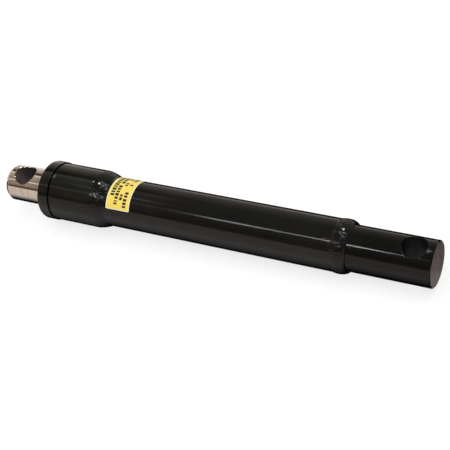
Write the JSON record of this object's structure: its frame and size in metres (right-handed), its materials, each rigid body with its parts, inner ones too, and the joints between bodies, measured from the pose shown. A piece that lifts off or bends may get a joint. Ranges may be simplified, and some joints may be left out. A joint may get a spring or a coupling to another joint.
{
  "type": "hydraulic cylinder",
  "caption": "Single-acting hydraulic cylinder: chromed plunger rod and solid base bar with cross pin holes, welded black barrel, packing collar with a screwed gland nut.",
  "frame": {"origin": "centre of the base pin bore, on the cylinder's axis", "axes": "+X along the cylinder from the base pin to the rod pin, +Z along both pin bores, -Y out of the oil port"},
  "size_m": [0.4652, 0.0612, 0.0612],
  "materials": {
    "barrel_paint": "gloss black enamel",
    "weld_paint": "gloss black enamel over a weld bead",
    "base_paint": "gloss black enamel over turned bar",
    "nut_paint": "gloss black enamel",
    "rod_chrome": "polished hard chrome",
    "label_film": "satin printed film",
    "bushing_bronze": "turned bronze",
    "packing_fabric": "fabric-reinforced rubber",
    "packing_adapter": "moulded phenolic",
    "washer_steel": "bright steel",
    "o_ring_rubber": "matt black nitrile",
    "wiper_urethane": "satin polyurethane",
    "guide_steel": "turned steel",
    "wear_nylon": "natural nylon",
    "snap_ring_steel": "oiled spring steel"
  },
  "bodies": {
    "barrel": {"barrel_tube": "barrel_paint", "head_collar": "barrel_paint", "collar_weld_bead": "weld_paint", "base_lug": "base_paint", "base_weld_bead": "weld_paint", "barrel_label": "label_film", "gland_bushing": "bushing_bronze", "packing_header": "packing_adapter", "vee_packing_ring_1": "packing_fabric", "vee_packing_ring_2": "packing_fabric", "vee_packing_ring_3": "packing_fabric", "vee_packing_ring_4": "packing_fabric", "packing_follower": "packing_adapter", "packing_washer": "washer_steel"},
    "guide": {"stop_guide": "guide_steel", "stop_wear_ring": "wear_nylon"},
    "rod": {"piston_rod": "rod_chrome", "snap_ring": "snap_ring_steel"},
    "wiper": {"rod_wiper": "wiper_urethane"},
    "nut": {"packing_nut": "nut_paint", "nut_o_ring": "o_ring_rubber"}
  },
  "joints": [
    {"name": "rod_slide", "type": "slide", "parent": "barrel", "child": "guide", "axis": [1, 0, 0], "range_m": [0, 0.2286]},
    {"name": "rod_spin", "type": "hinge", "parent": "guide", "child": "rod", "pos_m": [0, 0, 0], "axis": [1, 0, 0], "continuous": true},
    {"name": "nut_turn", "type": "hinge", "parent": "wiper", "child": "nut", "pos_m": [0, 0, 0], "axis": [1, 0, 0], "range_deg": [0, 2160]},
    {"name": "nut_travel", "type": "slide", "parent": "barrel", "child": "wiper", "axis": [1, 0, 0], "range_m": [0, 0.0127]}
  ],
  "couplings": [
    {"joint": "nut_travel", "follows": "nut_turn", "m_per_rad": 0.0003368}
  ]
}
